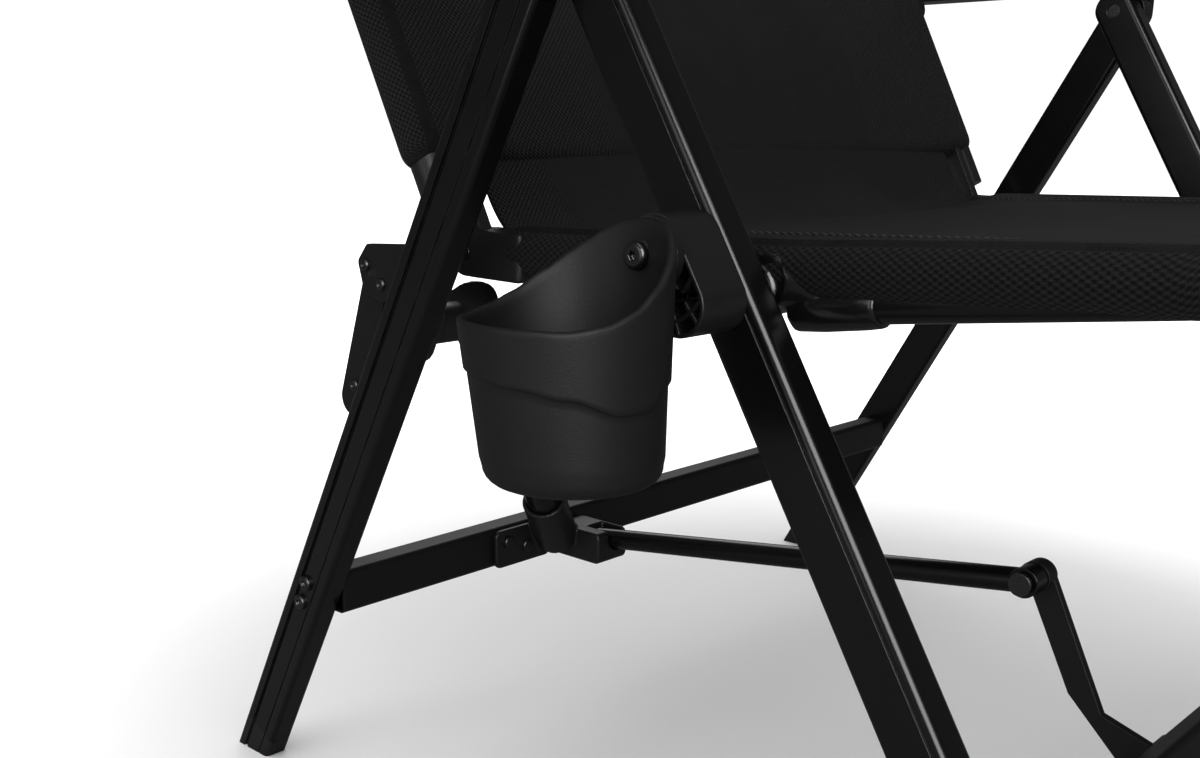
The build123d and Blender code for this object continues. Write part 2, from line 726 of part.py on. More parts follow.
with BuildPart() as arm_bar_left:
    with BuildSketch(Plane.XY.offset(arm_level)):
        with Locations((-(rear_ear_x[0] + ear_x[1]) / 2, sum(arm_bar_y) / 2)):
            RectangleRounded(ear_x[1] - rear_ear_x[0], arm_bar_y[1] - arm_bar_y[0], 7.0)
    extrude(amount=bar_thick)
    for place, across, radius in ((apex, ear_x, 13.0), (arm_rear_pivot, rear_ear_x, 11.0)):
        rise = arm_level + 2.0 - place[1]
        with BuildSketch(side_plane(-across[1], place)):
            Circle(radius)
            with Locations((0, rise / 2)):
                Rectangle(2 * radius, rise)
        extrude(amount=across[1] - across[0])
    with BuildSketch(side_plane(-ear_x[1], apex)):
        Circle(bore)
    extrude(amount=ear_x[1] - ear_x[0], mode=Mode.SUBTRACT)
    with BuildSketch(side_plane(-rear_ear_x[1], arm_rear_pivot)):
        Circle(pin_radius)
    extrude(amount=rear_ear_x[1] - rear_ear_x[0], mode=Mode.SUBTRACT)
finish(arm_bar_left, "arm_bar_left")
mirrored(arm_bar_left, "arm_bar_right")

pad_bottom = arm_level + bar_thick
pad_height = 17.0
with BuildPart() as armrest_left:
    with BuildSketch(Plane.YZ.offset(-arm_pad_x[1])):
        with BuildLine():
            middle = (arm_front + arm_pad_rear) / 2
            Line((arm_front + 3.0, pad_bottom), (arm_pad_rear - 3.0, pad_bottom))
            Line((arm_pad_rear - 3.0, pad_bottom), (arm_pad_rear, pad_bottom + 6.0))
            ThreePointArc(
                (arm_pad_rear, pad_bottom + 6.0),
                (middle + 30.0, pad_bottom + pad_height),
                (arm_front, pad_bottom + 5.0),
            )
            Line((arm_front, pad_bottom + 5.0), (arm_front + 3.0, pad_bottom))
        make_face()
    extrude(amount=arm_pad_x[1] - arm_pad_x[0])
    fillet(armrest_left.edges().filter_by(Axis.Z, tolerance=60).group_by(SortBy.LENGTH)[0], 2.0)
finish(armrest_left, "armrest_left")
mirrored(armrest_left, "armrest_right")

for side in ("left", "right"):
    with BuildPart() as arm_pin:
        with BuildSketch(side_plane(-rear_ear_x[1], arm_rear_pivot)):
            Circle(pin_radius)
        extrude(amount=rear_ear_x[1] - arm_pin_end)
        add(pan_head(-rear_ear_x[1], arm_rear_pivot, 8.5, 3.6))
    if side == "left":
        finish(arm_pin, "arm_rear_pin_left")
    else:
        mirrored(arm_pin, "arm_rear_pin_right")

# ---------------------------------------------------------------- seat latches

latch_plate = 3.0
latch_bolt = (150.0, 334.0)
latch_tip = (178.0, 258.0)
lever_width = 21.0
lever_thick = 6.0
latch_outer = rear_leg_x[0]
lever_outer = latch_outer - latch_plate - 0.3

with BuildPart() as latch_bracket_left:
    with BuildSketch(Plane.YZ.offset(-latch_outer)):
        with BuildLine():
            Polyline(
                (76.0, 354.0), (154.0, 350.0), (163.0, 340.0), (158.0, 322.0),
                (140.0, 318.0), (128.0, 330.0), (90.0, 332.0), close=True,
            )
        make_face()
        fillet(vertices(), 4.0)
        with Locations(latch_bolt):
            Circle(3.0, mode=Mode.SUBTRACT)
    extrude(amount=latch_plate)
finish(latch_bracket_left, "latch_bracket_left")
mirrored(latch_bracket_left, "latch_bracket_right")

with BuildPart() as latch_rivet:
    with BuildSketch(side_plane(-latch_outer + 0.2, latch_bolt)):
        Circle(3.0)
    extrude(amount=latch_plate + lever_thick + 0.6)
    with BuildSketch(side_plane(-lever_outer + lever_thick + 0.3, latch_bolt)):
        Circle(5.5)
    extrude(amount=2.2)
    for place in ((87.0, 345.0), (100.0, 340.0)):
        with BuildSketch(side_plane(-latch_outer + latch_plate, place)):
            Circle(4.0)
        extrude(amount=2.0)
with BuildPart() as latch_rivets:
    add(latch_rivet.part)
    add(mirror(latch_rivet.part, about=Plane.YZ))
finish(latch_rivets, "latch_rivets")

lever_turn = degrees(atan2(latch_tip[1] - latch_bolt[1], latch_tip[0] - latch_bolt[0]))
lever_reach = hypot(latch_tip[0] - latch_bolt[0], latch_tip[1] - latch_bolt[1])
with BuildPart() as latch_lever_left:
    with BuildSketch(side_plane(-lever_outer, latch_bolt, lever_turn)):
        with Locations((lever_reach / 2, 0)):
            SlotCenterToCenter(lever_reach, lever_width)
        Circle(3.0 + running_gap, mode=Mode.SUBTRACT)
    extrude(amount=lever_thick)
    inner_face = latch_lever_left.faces().sort_by(Axis.X)[-1]
    fillet(inner_face.edges().filter_by(GeomType.CIRCLE, reverse=True), 1.5)
finish(latch_lever_left, "latch_lever_left")
mirrored(latch_lever_left, "latch_lever_right")

# ---------------------------------------------------------------- cup holder

disc_thick = 5.0
disc_radius = 16.0
boss_thick = 4.0
foot_round = 7.0           # rounding of the cup's foot
band_proud = 1.2           # the upper band stands out from the lower wall by this much
band_turn = 46.0           # the step under the band is drawn on a plane turned about Z
rim_turn = 11.0            # and so is the slanting rim
sketch_half = 60.0         # half width of those drawings, wider than the cup

with BuildPart() as cup_disc:
    with BuildSketch(side_plane(-hub_x - disc_thick, cup_bolt)):
        Circle(disc_radius)
        Circle(cup_bolt_radius + running_gap, mode=Mode.SUBTRACT)
    extrude(amount=disc_thick)
finish(cup_disc, "cup_disc")

boss_x = -hub_x - disc_thick - 0.4


def upright_plane(turn):
    """Vertical plane through the cup's top centre, its x turned from +X towards the front."""
    return Plane(
        origin=(cup_top[0], cup_top[1], 0),
        x_dir=(cos(radians(turn)), -sin(radians(turn)), 0),
        z_dir=(-sin(radians(turn)), -cos(radians(turn)), 0),
    )


def cup_cone(grow, floor, ceiling):
    """The cup's leaning cone, grown by some amount, between two heights."""
    with BuildPart() as cone:
        for z in (floor, ceiling):
            share = (z - cup_bottom_z) / (cup_top_z - cup_bottom_z)
            with BuildSketch(Plane.XY.offset(z)):
                with Locations((cup_top[0], cup_bottom[1] + share * (cup_top[1] - cup_bottom[1]))):
                    Circle(cup_bottom_radius + share * (cup_top_radius - cup_bottom_radius) + grow)
        loft()
    return cone


def below_line(turn, points):
    """Everything round the cup below a line drawn on an upright plane."""
    with BuildPart() as block:
        with BuildSketch(upright_plane(turn).offset(-sketch_half)):
            with BuildLine():
                Spline(*points)
                floor = cup_bottom_z - 20.0
                Polyline(points[-1], (sketch_half, floor), (-sketch_half, floor), points[0])
            make_face()
        extrude(amount=2 * sketch_half)
    return block.part


band_line = [
    (-sketch_half, 320.0), (-43.0, 320.0), (-20.0, 317.5), (0.0, 314.0),
    (23.0, 307.0), (33.0, 306.5), (43.0, 309.0), (sketch_half, 313.0),
]
rim_line = [
    (-sketch_half, 343.0), (-37.7, 340.5), (-25.0, 340.0), (-9.8, 342.0), (3.0, 346.3),
    (17.7, 354.5), (28.0, 362.5), (38.0, 371.0), (43.5, 378.0), (sketch_half, 396.0),
]

plain_cone = cup_cone(0.0, cup_bottom_z, cup_top_z + 1.0)
with BuildPart() as outer_cup:
    add(cup_cone(band_proud, cup_bottom_z + 20.0, cup_top_z).part)
    add(below_line(band_turn, band_line), mode=Mode.SUBTRACT)
    add(plain_cone.part)
    fillet(outer_cup.edges().group_by(Axis.Z)[0], foot_round)
    add(below_line(rim_turn, rim_line), mode=Mode.INTERSECT)

# Hollow it, give it a flat boss that meets the disc, and bore it for its bolt.
with BuildPart() as cup_holder:
    add(outer_cup.part)
    add(cup_cone(-cup_wall, cup_bottom_z + cup_wall, cup_top_z + 2.0).part, mode=Mode.SUBTRACT)
    with BuildSketch(side_plane(boss_x, cup_bolt)):
        Circle(disc_radius - 2.0)
    extrude(amount=-boss_thick)
    with BuildSketch(side_plane(boss_x + sketch_half, cup_bolt)):
        Rectangle(2 * sketch_half, 4 * sketch_half)
    extrude(amount=-sketch_half, mode=Mode.SUBTRACT)
    with BuildSketch(side_plane(boss_x, cup_bolt)):
        Circle(cup_bolt_radius + running_gap)
    extrude(amount=-3 * boss_thick, mode=Mode.SUBTRACT)
finish(cup_holder, "cup_holder")

with BuildPart() as cup_bolt_pin:
    with BuildSketch(side_plane(-hub_x + 6.0, cup_bolt)):
        Circle(cup_bolt_radius)
    extrude(amount=-(6.0 + disc_thick + 6.4))
    add(pan_head(-hub_x - disc_thick - 6.4, cup_bolt, 6.0, 3.6))
finish(cup_bolt_pin, "cup_bolt")
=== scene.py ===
import json
from math import atan2, cos, pi, radians, sin, sqrt, tan

import bmesh
import bpy
from mathutils import Matrix, Vector


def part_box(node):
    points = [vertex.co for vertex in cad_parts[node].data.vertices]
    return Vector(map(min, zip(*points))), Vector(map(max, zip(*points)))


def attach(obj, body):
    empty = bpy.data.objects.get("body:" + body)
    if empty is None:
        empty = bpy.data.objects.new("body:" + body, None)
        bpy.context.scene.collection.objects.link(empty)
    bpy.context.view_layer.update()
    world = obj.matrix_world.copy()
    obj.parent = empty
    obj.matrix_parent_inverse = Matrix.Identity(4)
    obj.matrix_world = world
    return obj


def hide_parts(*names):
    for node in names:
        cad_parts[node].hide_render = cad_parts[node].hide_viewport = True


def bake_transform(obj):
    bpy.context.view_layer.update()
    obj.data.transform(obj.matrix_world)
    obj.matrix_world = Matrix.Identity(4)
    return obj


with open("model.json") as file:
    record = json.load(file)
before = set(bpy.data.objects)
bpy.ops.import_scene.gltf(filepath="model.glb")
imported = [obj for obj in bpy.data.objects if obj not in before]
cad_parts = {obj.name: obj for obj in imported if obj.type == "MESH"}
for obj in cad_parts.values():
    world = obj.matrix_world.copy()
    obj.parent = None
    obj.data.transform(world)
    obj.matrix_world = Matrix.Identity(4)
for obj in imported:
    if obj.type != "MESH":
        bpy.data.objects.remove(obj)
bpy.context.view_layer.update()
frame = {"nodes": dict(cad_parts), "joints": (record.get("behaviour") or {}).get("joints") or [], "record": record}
pivots = {joint["name"]: Vector(joint["pos_m"]) for joint in frame["joints"]}


# ---------------------------------------------------------------- small helpers


def mix(a, b, share):
    return a + (b - a) * share


def smooth(low, high, value):
    """0 below low, 1 above high and an S curve between them."""
    share = min(1.0, max(0.0, (value - low) / (high - low)))
    return share * share * (3.0 - 2.0 * share)


def along(points, value):
    """Height of a line through (place, height) points, eased between them."""
    for (x0, y0), (x1, y1) in zip(points, points[1:]):
        if value <= x1:
            return mix(y0, y1, smooth(x0, x1, value))
    return points[-1][1]


def new_piece(name, vertices, faces, body, material):
    """A mesh piece that rides on a body and wears a material."""
    mesh = bpy.data.meshes.new(name)
    mesh.from_pydata([tuple(v) for v in vertices], [], faces)
    tidy = bmesh.new()
    tidy.from_mesh(mesh)
    bmesh.ops.remove_doubles(tidy, verts=tidy.verts, dist=1e-6)
    bmesh.ops.recalc_face_normals(tidy, faces=tidy.faces)
    tidy.to_mesh(mesh)
    tidy.free()
    mesh.polygons.foreach_set("use_smooth", [True] * len(mesh.polygons))
    piece = bpy.data.objects.new(name, mesh)
    bpy.context.scene.collection.objects.link(piece)
    mesh.materials.append(material)
    if body:
        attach(piece, body)
    return piece


def loops_to_faces(rows, columns, start=0):
    """Quads between closed rings of vertices that lie one after another."""
    faces = []
    for i in range(rows - 1):
        for j in range(columns):
            k = (j + 1) % columns
            a = start + i * columns
            faces.append((a + j, a + k, a + columns + k, a + columns + j))
    return faces


def subdivide(piece):
    modifier = piece.modifiers.new("rounding", "SUBSURF")
    modifier.levels = 1
    modifier.render_levels = 1


# ---------------------------------------------------------------- materials


class Graph:
    """Adds nodes to one material and links them by socket."""

    def __init__(self, name):
        self.material = bpy.data.materials.new(name)
        self.material.use_nodes = True
        self.tree = self.material.node_tree
        self.shader = self.tree.nodes["Principled BSDF"]
        self.place = self.add("TexCoord").outputs["Object"]

    def add(self, kind, inputs=None, **settings):
        node = self.tree.nodes.new("ShaderNode" + kind)
        for key, value in settings.items():
            setattr(node, key, value)
        for key, value in (inputs or {}).items():
            self.put(node.inputs[key], value)
        return node

    def put(self, socket, value):
        if isinstance(value, bpy.types.NodeSocket):
            self.tree.links.new(value, socket)
        else:
            socket.default_value = value

    def math(self, operation, *values):
        node = self.add("Math", operation=operation)
        for index, value in enumerate(values):
            self.put(node.inputs[index], value)
        return node.outputs[0]

    def noise(self, scale, detail):
        node = self.add("TexNoise", {"Vector": self.place, "Scale": scale, "Detail": detail})
        return node.outputs["Fac"]

    def ramp(self, value, low, high, to_low=0.0, to_high=1.0):
        names = ("Value", "From Min", "From Max", "To Min", "To Max")
        node = self.add("MapRange", dict(zip(names, (value, low, high, to_low, to_high))))
        return node.outputs["Result"]

    def colour(self, share, first, second):
        node = self.add("Mix", data_type="RGBA")
        for index, value in ((0, share), (6, first), (7, second)):
            self.put(node.inputs[index], value)
        return node.outputs[2]

    def bump(self, height, distance, normal=None, strength=1.0):
        inputs = {"Height": height, "Distance": distance, "Strength": strength}
        if normal is not None:
            inputs["Normal"] = normal
        return self.add("Bump", inputs).outputs["Normal"]

    def shade(self, **values):
        for key, value in values.items():
            self.put(self.shader.inputs[key.replace("_", " ")], value)
        return self.material


def grey(level, tint=(1.0, 1.0, 1.0)):
    return tuple(level * t for t in tint) + (1.0,)


def hard_finish(name, level, roughness, grain, grain_height, edge_wear_and_highlight=0.04, tint=(1.0, 1.0, 1.04),
                specular=0.3, metallic=0.0, edge=0.0008):
    """Painted metal or moulding: nearly even tone, fine grain, soft edges, and lighter edges that are partly a
    little wear and partly a painted highlight.
    """
    graph = Graph(name)
    broad = graph.noise(30.0, 3.0)
    fine = graph.noise(grain, 3.0)
    base = graph.colour(broad, grey(level * 0.88, tint), grey(level * 1.14, tint))
    rounded = graph.add("Bevel", {"Radius": edge}, samples=6).outputs["Normal"]
    flat = graph.add("NewGeometry").outputs["Normal"]
    facing = graph.add("VectorMath", {0: rounded, 1: flat}, operation="DOT_PRODUCT").outputs["Value"]
    # Sharp edges are lightened in the colour: partly wear, partly a painted highlight along the edges.
    sharp = graph.ramp(facing, 0.985, 0.86)
    rubbed_and_highlit = graph.math("MULTIPLY", sharp, graph.ramp(graph.noise(90.0, 4.0), 0.42, 0.70, 0.1, 1.0))
    colour = graph.colour(rubbed_and_highlit, base, grey(edge_wear_and_highlight, tint))
    uneven = graph.math("ADD", graph.ramp(broad, 0.3, 0.7, -0.02, 0.02), roughness)
    uneven = graph.math("ADD", uneven, graph.ramp(fine, 0.3, 0.7, -0.03, 0.03))
    normal = graph.bump(fine, grain_height, rounded)
    return graph.shade(Base_Color=colour, Roughness=uneven, Normal=normal, Metallic=metallic,
                       Specular_IOR_Level=specular)


def mesh_cloth(name, pitch, row, level=0.018):
    """Warp-knit spacer mesh with staggered holes painted near black as shade, painted highlights on the raised
    threads, and smooth cloth where the zone is 0.
    """
    graph = Graph(name)
    flat = graph.add("SeparateXYZ", {"Vector": graph.add("UVMap").outputs["UV"]})
    wave_u = graph.math("COSINE", graph.math("MULTIPLY", flat.outputs["X"], 2.0 * pi / row))
    wave_v = graph.math("COSINE", graph.math("MULTIPLY", flat.outputs["Y"], 2.0 * pi / pitch))
    lattice = graph.math("MULTIPLY", wave_u, wave_v)
    zone = graph.add("Attribute", attribute_name="zone").outputs["Fac"]
    hole = graph.math("MULTIPLY", graph.ramp(lattice, 0.15, 0.55), zone)
    broad = graph.noise(18.0, 4.0)
    thread = graph.noise(1400.0, 2.0)
    yarn = graph.colour(broad, grey(level * 0.75), grey(level * 1.4))
    # Raised thread crossings get a lighter grey: a painted highlight.
    raised = graph.math("MULTIPLY", graph.ramp(lattice, 0.1, -0.8), zone)
    lit = graph.colour(raised, yarn, grey(level * 2.2))
    # The holes are painted near black: painted shade inside the holes.
    colour = graph.colour(hole, lit, grey(0.0015))
    weave = graph.math("SINE", graph.math("MULTIPLY", flat.outputs["Y"], 2.0 * pi / 0.0011))
    ribs = graph.math("SINE", graph.math("MULTIPLY", flat.outputs["X"], 2.0 * pi / 0.0013))
    plain = graph.math("MULTIPLY", graph.math("ADD", weave, ribs), 0.12)
    holes = graph.math("MULTIPLY", lattice, zone)
    relief = graph.math("MULTIPLY", graph.math("SUBTRACT", plain, holes), 0.5)
    relief = graph.math("ADD", relief, graph.math("MULTIPLY", thread, 0.12))
    normal = graph.bump(relief, 0.0009)
    wavy = graph.bump(graph.noise(26.0, 3.0), 0.003, normal, 0.35)
    return graph.shade(Base_Color=colour, Roughness=0.78, Normal=wavy, Specular_IOR_Level=0.06,
                       Sheen_Weight=0.02, Sheen_Roughness=0.5)


finishes = {
    "leg_aluminium": hard_finish(
        "leg_coat", 0.0034, 0.22, 1500.0, 0.00001, 0.020, (1.0, 0.96, 1.08), 0.28
    ),
    "frame_tube": hard_finish(
        "tube_coat", 0.0034, 0.22, 1500.0, 0.00001, 0.020, (1.0, 0.97, 1.06), 0.32
    ),
    "flat_bar": hard_finish(
        "bar_coat", 0.0066, 0.42, 1300.0, 0.00003, 0.020, (1.0, 0.96, 1.06), 0.18
    ),
    "moulded_plastic": hard_finish("moulding", 0.0095, 0.40, 1100.0, 0.00006, 0.018, specular=0.22),
    "gloss_moulding": hard_finish(
        "gloss_moulding", 0.0050, 0.20, 900.0, 0.00002, 0.015, specular=0.40
    ),
    "cup_plastic": hard_finish(
        "cup_moulding", 0.0085, 0.52, 1000.0, 0.00008, 0.040, specular=0.12, edge=0.0006
    ),
    "armrest_plastic": hard_finish(
        "armrest_moulding", 0.0085, 0.48, 700.0, 0.00012, 0.02, specular=0.2
    ),
    "black_fasteners": hard_finish("black_steel", 0.05, 0.28, 800.0, 0.00002, 0.16, metallic=0.9),
}
seat_cloth = mesh_cloth("seat_mesh", 0.0048, 0.0034, 0.0045)
back_cloth = mesh_cloth("back_mesh", 0.0034, 0.0034, 0.0065)
thread_finish = hard_finish("sewing_thread", 0.016, 0.7, 2500.0, 0.0001, 0.03)

slot_of = {entry["node"]: entry["material_slot"] for entry in frame["record"]["subparts"]}
for node, thing in frame["nodes"].items():
    finish_name = slot_of[node]
    thing.data.materials.clear()
    thing.data.materials.append(finishes.get(finish_name, seat_cloth))


# ---------------------------------------------------------------- padded fabric


def cover(name, body, material, vertices, faces, zones, uvs, pins, replaced, cap, pressure):
    """Builds a cover, puffs it up by cloth simulation between its pinned seams, and dresses it."""
    mesh = bpy.data.meshes.new(name)
    mesh.from_pydata([tuple(v) for v in vertices], [], faces)
    attribute = mesh.attributes.new("zone", "FLOAT", "POINT")
    attribute.data.foreach_set("value", zones)
    layer = mesh.uv_layers.new(name="UVMap")
    for face in mesh.polygons:
        corners = [uvs[mesh.loops[k].vertex_index] for k in face.loop_indices]
        for k, corner in zip(face.loop_indices, corners):
            layer.data[k].uv = corner
    tidy = bmesh.new()
    tidy.from_mesh(mesh)
    bmesh.ops.recalc_face_normals(tidy, faces=tidy.faces)
    tidy.to_mesh(mesh)
    tidy.free()
    mesh.polygons.foreach_set("use_smooth", [True] * len(mesh.polygons))
    piece = bpy.data.objects.new(name, mesh)
    bpy.context.scene.collection.objects.link(piece)
    mesh.materials.append(material)
    if pressure > 0:
        puff(piece, pins, pressure, cap)
    subdivide(piece)
    if body:
        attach(piece, body)
    for node in replaced:
        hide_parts(node)
    return piece


def puff(piece, pins, pressure, cap):
    """Short cloth simulation with pressure and no gravity. No point moves further than cap."""
    last_frame = 15
    rest = [v.co.copy() for v in piece.data.vertices]
    group = piece.vertex_groups.new(name="held")
    for index, weight in enumerate(pins):
        group.add([index], weight, "REPLACE")
    scene = bpy.context.scene
    scene.frame_set(1)
    modifier = piece.modifiers.new("cloth", "CLOTH")
    settings = modifier.settings
    settings.quality = 6
    settings.mass = 0.3
    settings.use_pressure = True
    settings.uniform_pressure_force = pressure
    settings.tension_stiffness = 25.0
    settings.compression_stiffness = 25.0
    settings.shear_stiffness = 10.0
    settings.bending_stiffness = 1.0
    settings.effector_weights.gravity = 0.0
    settings.vertex_group_mass = "held"
    modifier.collision_settings.use_collision = False
    modifier.collision_settings.use_self_collision = False
    for step in range(1, last_frame + 1):
        scene.frame_set(step)
    graph = bpy.context.evaluated_depsgraph_get()
    moved = [v.co.copy() for v in piece.evaluated_get(graph).data.vertices]
    piece.modifiers.remove(modifier)
    scene.frame_set(1)
    for vertex, start, end in zip(piece.data.vertices, rest, moved):
        step = end - start
        if step.length > cap:
            step *= cap / step.length
        vertex.co = start + step


def face_height(x, half, roll, sag, seam):
    """Height of a panel's upper face: rolled sides, a sewn seam and a sagging middle."""
    inset = half - abs(x)
    dip = sag * smooth(roll, seam * 1.7, inset) * (1.0 - 0.5 * (x / half) ** 2)
    groove = 0.0022 * max(0.0, 1.0 - abs(inset - seam) / 0.005)
    return roll - dip - groove


def panel_ring(half, roll, middle, sag, seam, columns):
    """One closed ring of a padded panel across X, as (x, z) points that start on the upper face."""
    ring = []
    inner = half - roll
    arc = pi * roll
    reach = 2.0 * inner
    total = 2.0 * (arc + reach)
    for j in range(columns):
        s = total * j / columns
        if s < reach:
            x, upper = -inner + s, True
        elif s < reach + arc:
            turn = (s - reach) / roll
            ring.append((inner + roll * sin(turn), roll * cos(turn)))
            continue
        elif s < 2.0 * reach + arc:
            x, upper = inner - (s - reach - arc), False
        else:
            turn = (s - 2.0 * reach - arc) / roll
            ring.append((-inner - roll * sin(turn), -roll * cos(turn)))
            continue
        inset = half - abs(x)
        centre = smooth(roll, seam * 1.7, inset)
        thick = mix(roll, middle, centre)
        dip = sag * centre * (1.0 - 0.5 * (x / half) ** 2)
        height = face_height(x, half, roll, sag, seam) if upper else roll - dip - 2.0 * thick
        ring.append((x, height))
    return ring


def panel(name, body, material, place, size, roll, middle, sag, seam, corners, replaced,
          zone_edge, cap=0.004, pressure=2.0, columns=150, rows=90):
    """A padded panel whose point (x, y, z) goes to place(x, y, z). Y runs from 0 to its length."""
    half, length = size
    vertices, zones, uvs, pins = [], [], [], []
    ring = panel_ring(half, roll, middle, sag, seam, columns)
    mid_z = roll - sag - middle
    for i in range(rows + 1):
        share = mix(i / rows, 0.5 - 0.5 * cos(pi * i / rows), 0.6)
        y = share * length
        ending, width = 1.0, half
        for gap, corner in ((y, corners[0]), (length - y, corners[1])):
            if gap < roll:
                ending = min(ending, sqrt(max(0.0, 1.0 - (1.0 - gap / roll) ** 2)))
            if gap < corner:
                width = min(width, half - corner + sqrt(max(0.0, corner**2 - (corner - gap) ** 2)))
        arc_length = 0.0
        last = None
        for x, z in ring:
            inset = half - abs(x)
            level = mix(mid_z, 0.0, 1.0 - smooth(roll, seam * 1.7, inset))
            spread = x * width / half
            height = level + (z - level) * ending
            vertices.append(place(spread, y, height))
            here = Vector((spread, height))
            if last is not None:
                arc_length += (here - last).length
            last = here
            uvs.append((arc_length, y))
            zones.append(1.0 - smooth(zone_edge, zone_edge + 0.006, inset))
            sewn = 1.0 if abs(inset - seam) < 0.004 else 0.0
            held = max(1.0 - smooth(roll * 0.8, roll * 1.6, inset), sewn)
            held = max(held, 1.0 - smooth(0.01, 0.03, min(y, length - y)))
            pins.append(held)
    return cover(name, body, material, vertices, loops_to_faces(rows + 1, columns), zones, uvs,
                 pins, replaced, cap, pressure)


def stitches(name, body, first, last, out):
    """A straight row of sewn stitches from one point to another, on a face that looks along out."""
    length, gap, radius, sides = 0.0032, 0.0014, 0.00045, 6
    run, vertices, faces = last - first, [], []
    for i in range(int(run.length / (length + gap))):
        start = first + run * min(1.0, i * (length + gap) / run.length)
        end = first + run * min(1.0, (i * (length + gap) + length) / run.length)
        line = (end - start).normalized()
        side = line.cross(out).normalized()
        base = len(vertices)
        for share, size in ((0.0, 0.3), (0.2, 1.0), (0.8, 1.0), (1.0, 0.3)):
            lift = radius * (0.2 + 0.9 * sin(pi * mix(0.1, 0.9, share)))
            centre = start.lerp(end, share) + out * lift
            for k in range(sides):
                turn = 2.0 * pi * k / sides
                vertices.append(centre + (side * cos(turn) + out * sin(turn)) * radius * size)
        faces.extend(loops_to_faces(4, sides, base))
        faces.append(tuple(base + k for k in range(sides - 1, -1, -1)))
        faces.append(tuple(base + 3 * sides + k for k in range(sides)))
    return new_piece(name, vertices, faces, body, thread_finish)


# The seat cover is a sleeve over both side rails and the front tube.
tube_low, tube_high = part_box("seat_front_tube")
pad_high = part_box("seat_pad")[1]
hinge = pivots["seat_fold"]
back_pivot = pivots["back_fold"]
seat_roll = 0.014
seat_front = tube_low.y - 0.003
seat_rear = pad_high.y + 0.004
seat_half = tube_high.x + 0.007
seat_length = seat_rear - seat_front
seat_line = (
    (seat_front, hinge.z + 0.0335), (hinge.y - 0.105, hinge.z + 0.028),
    (hinge.y - 0.012, hinge.z + 0.023), (seat_rear, hinge.z + 0.0195),
)


def seat_top(y):
    """Height of the seat's side rolls, which climb towards the front."""
    for (y0, z0), (y1, z1) in zip(seat_line, seat_line[1:]):
        if y <= y1:
            return mix(z0, z1, (y - y0) / (y1 - y0))
    return seat_line[-1][1]


def seat_place(x, y, z):
    at = seat_front + y
    return Vector((x, at, seat_top(at) - seat_roll + z))


seat_seam, seat_sag = 0.055, 0.009
panel(
    "seat_cover", "seat", seat_cloth, seat_place, (seat_half, seat_length),
    seat_roll, 0.006, seat_sag, seat_seam, (0.050, 0.020), ["seat_pad"], 0.048,
)

# The back cover is a sleeve over the hoop. It lies in the plane of the hoop.
hoop_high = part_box("back_frame")[1]
back_roll = 0.0145
hoop_top = Vector((0.0, hoop_high.y, hoop_high.z))
recline = atan2(hoop_high.y - back_pivot.y - 0.005, hoop_high.z - back_pivot.z - 0.003)
back_up = Vector((0.0, sin(recline), cos(recline)))
back_out = Vector((0.0, -cos(recline), sin(recline)))
back_half = hoop_high.x + 0.0070
sleeve_start = 0.048
back_reach = (hoop_top - back_pivot).dot(back_up)


def back_place(start):
    def place(x, y, z):
        origin = Vector((0.0, back_pivot.y, back_pivot.z))
        return origin + Vector((x, 0, 0)) + back_up * (start + y) + back_out * z
    return place


back_length = back_reach + 0.004 - sleeve_start
panel(
    "back_cover", "back", back_cloth, back_place(sleeve_start), (back_half, back_length),
    back_roll, 0.005, 0.005, 0.050, (0.012, 0.068), ["back_panel"], 0.155,
)


def strip(name, points, half, thick, material, rows=36, columns=64):
    """A thick cloth strip across the chair that follows an eased line of (y, z) points."""
    squareness = 0.35  # of the section's sides: 1 is an ellipse and 0 a rectangle
    centres = []
    for i in range(rows + 1):
        t = i / rows
        level = [Vector(p) for p in points]
        while len(level) > 1:
            level = [a.lerp(b, t) for a, b in zip(level, level[1:])]
        centres.append(level[0])
    vertices, zones, uvs = [], [], []
    run = 0.0
    for i, centre in enumerate(centres):
        before, after = centres[max(0, i - 1)], centres[min(rows, i + 1)]
        if i:
            run += (centre - centres[i - 1]).length
        tangent = (after - before).normalized()
        normal = Vector((-tangent.y, tangent.x))
        closing = sqrt(max(0.0, 1.0 - (1.0 - min(1.0, min(i, rows - i) / 3.0)) ** 2))
        for j in range(columns):
            turn = 2.0 * pi * j / columns
            x = -half * cos(turn)
            side = sin(turn)
            rise = thick * (abs(side) ** squareness) * (1.0 if side >= 0 else -1.0) * closing
            place = centre + normal * rise
            vertices.append(Vector((x, place.x, place.y)))
            zones.append(1.0 - smooth(0.05, 0.06, half - abs(x)))
            uvs.append((x, run))
    return cover(name, None, material, vertices, loops_to_faces(rows + 1, columns), zones,
                 uvs, [1.0] * len(vertices), [], 0.0, 0.0)


fork_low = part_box("back_fork_right")[0]
crease_half = fork_low.x - 0.003
sleeve_low = back_place(0.0)(0.0, sleeve_start + 0.052, 0.0054)
crease_low = back_place(0.0)(0.0, 0.020, 0.007)
crease = strip(
    "seat_back_crease",
    [(seat_rear - 0.045, seat_top(seat_rear) - 0.016), (back_pivot.y + 0.010, seat_top(seat_rear) - 0.018),
     (crease_low.y, crease_low.z - 0.004), (sleeve_low.y, sleeve_low.z)],
    crease_half, 0.0045, back_cloth,
)
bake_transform(crease)

# Two rows of stitches run along each sewn seam of the seat.
stitch_offset = 0.0038
for side in (-1, 1):
    name = "left" if side < 0 else "right"
    x = side * (seat_half - seat_seam)
    for offset in (-stitch_offset, stitch_offset):
        level = face_height(x + offset, seat_half, seat_roll, seat_sag, seat_seam) + 0.0002
        first = seat_place(x + offset, 0.030, level)
        last = seat_place(x + offset, seat_length - 0.020, level)
        label = f"seat_stitch_{name}_{'in' if offset * side < 0 else 'out'}"
        stitches(label, "seat", first, last, Vector((0, 0, 1)))


# ---------------------------------------------------------------- cup holder


